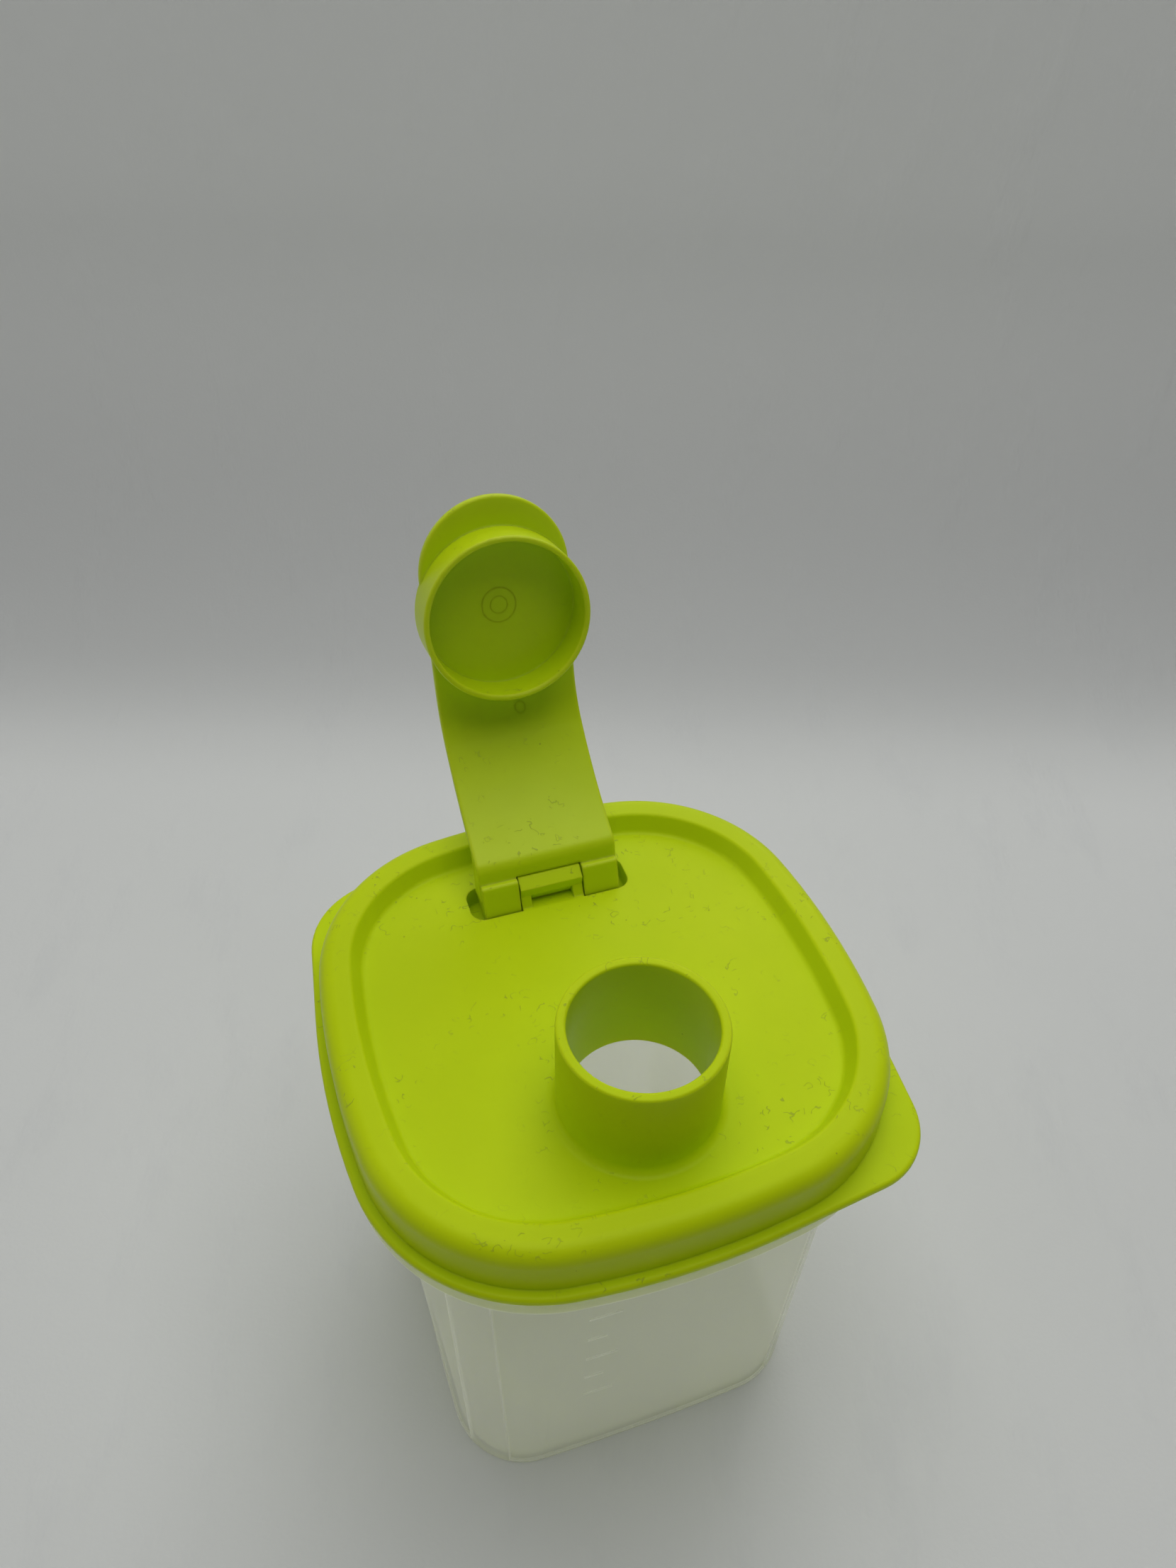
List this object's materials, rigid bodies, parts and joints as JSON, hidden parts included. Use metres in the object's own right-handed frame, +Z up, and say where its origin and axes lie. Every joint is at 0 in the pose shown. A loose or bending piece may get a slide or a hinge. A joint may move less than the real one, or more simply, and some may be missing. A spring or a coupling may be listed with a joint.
{
  "type": "formula dispenser",
  "caption": "Square translucent powder container with a press-on lid that has a round pouring spout and a hinged flip cap that closes over it.",
  "frame": {"origin": "centre of the container's base, on the surface it stands on", "axes": "+Z up, out of the spout; +Y towards the hinge of the flip cap; +X along the hinge, to the right when the spout is in front"},
  "size_m": [0.108, 0.1241, 0.1833],
  "materials": {
    "container_plastic": "translucent, fine satin",
    "lid_plastic": "lime green, satin",
    "cap_plastic": "lime green, satin"
  },
  "bodies": {
    "body": {"container": "container_plastic"},
    "lid": {"lid": "lid_plastic"},
    "flip_cap": {"flip_cap": "cap_plastic"}
  },
  "joints": [
    {"name": "lid_lift", "type": "slide", "parent": "body", "child": "lid", "axis": [0, 0, 1], "range_m": [0, 0.03]},
    {"name": "cap_hinge", "type": "hinge", "parent": "lid", "child": "flip_cap", "pos_m": [0, 0.0311, 0.1111], "axis": [1, 0, 0], "range_deg": [0, 103.2]}
  ]
}
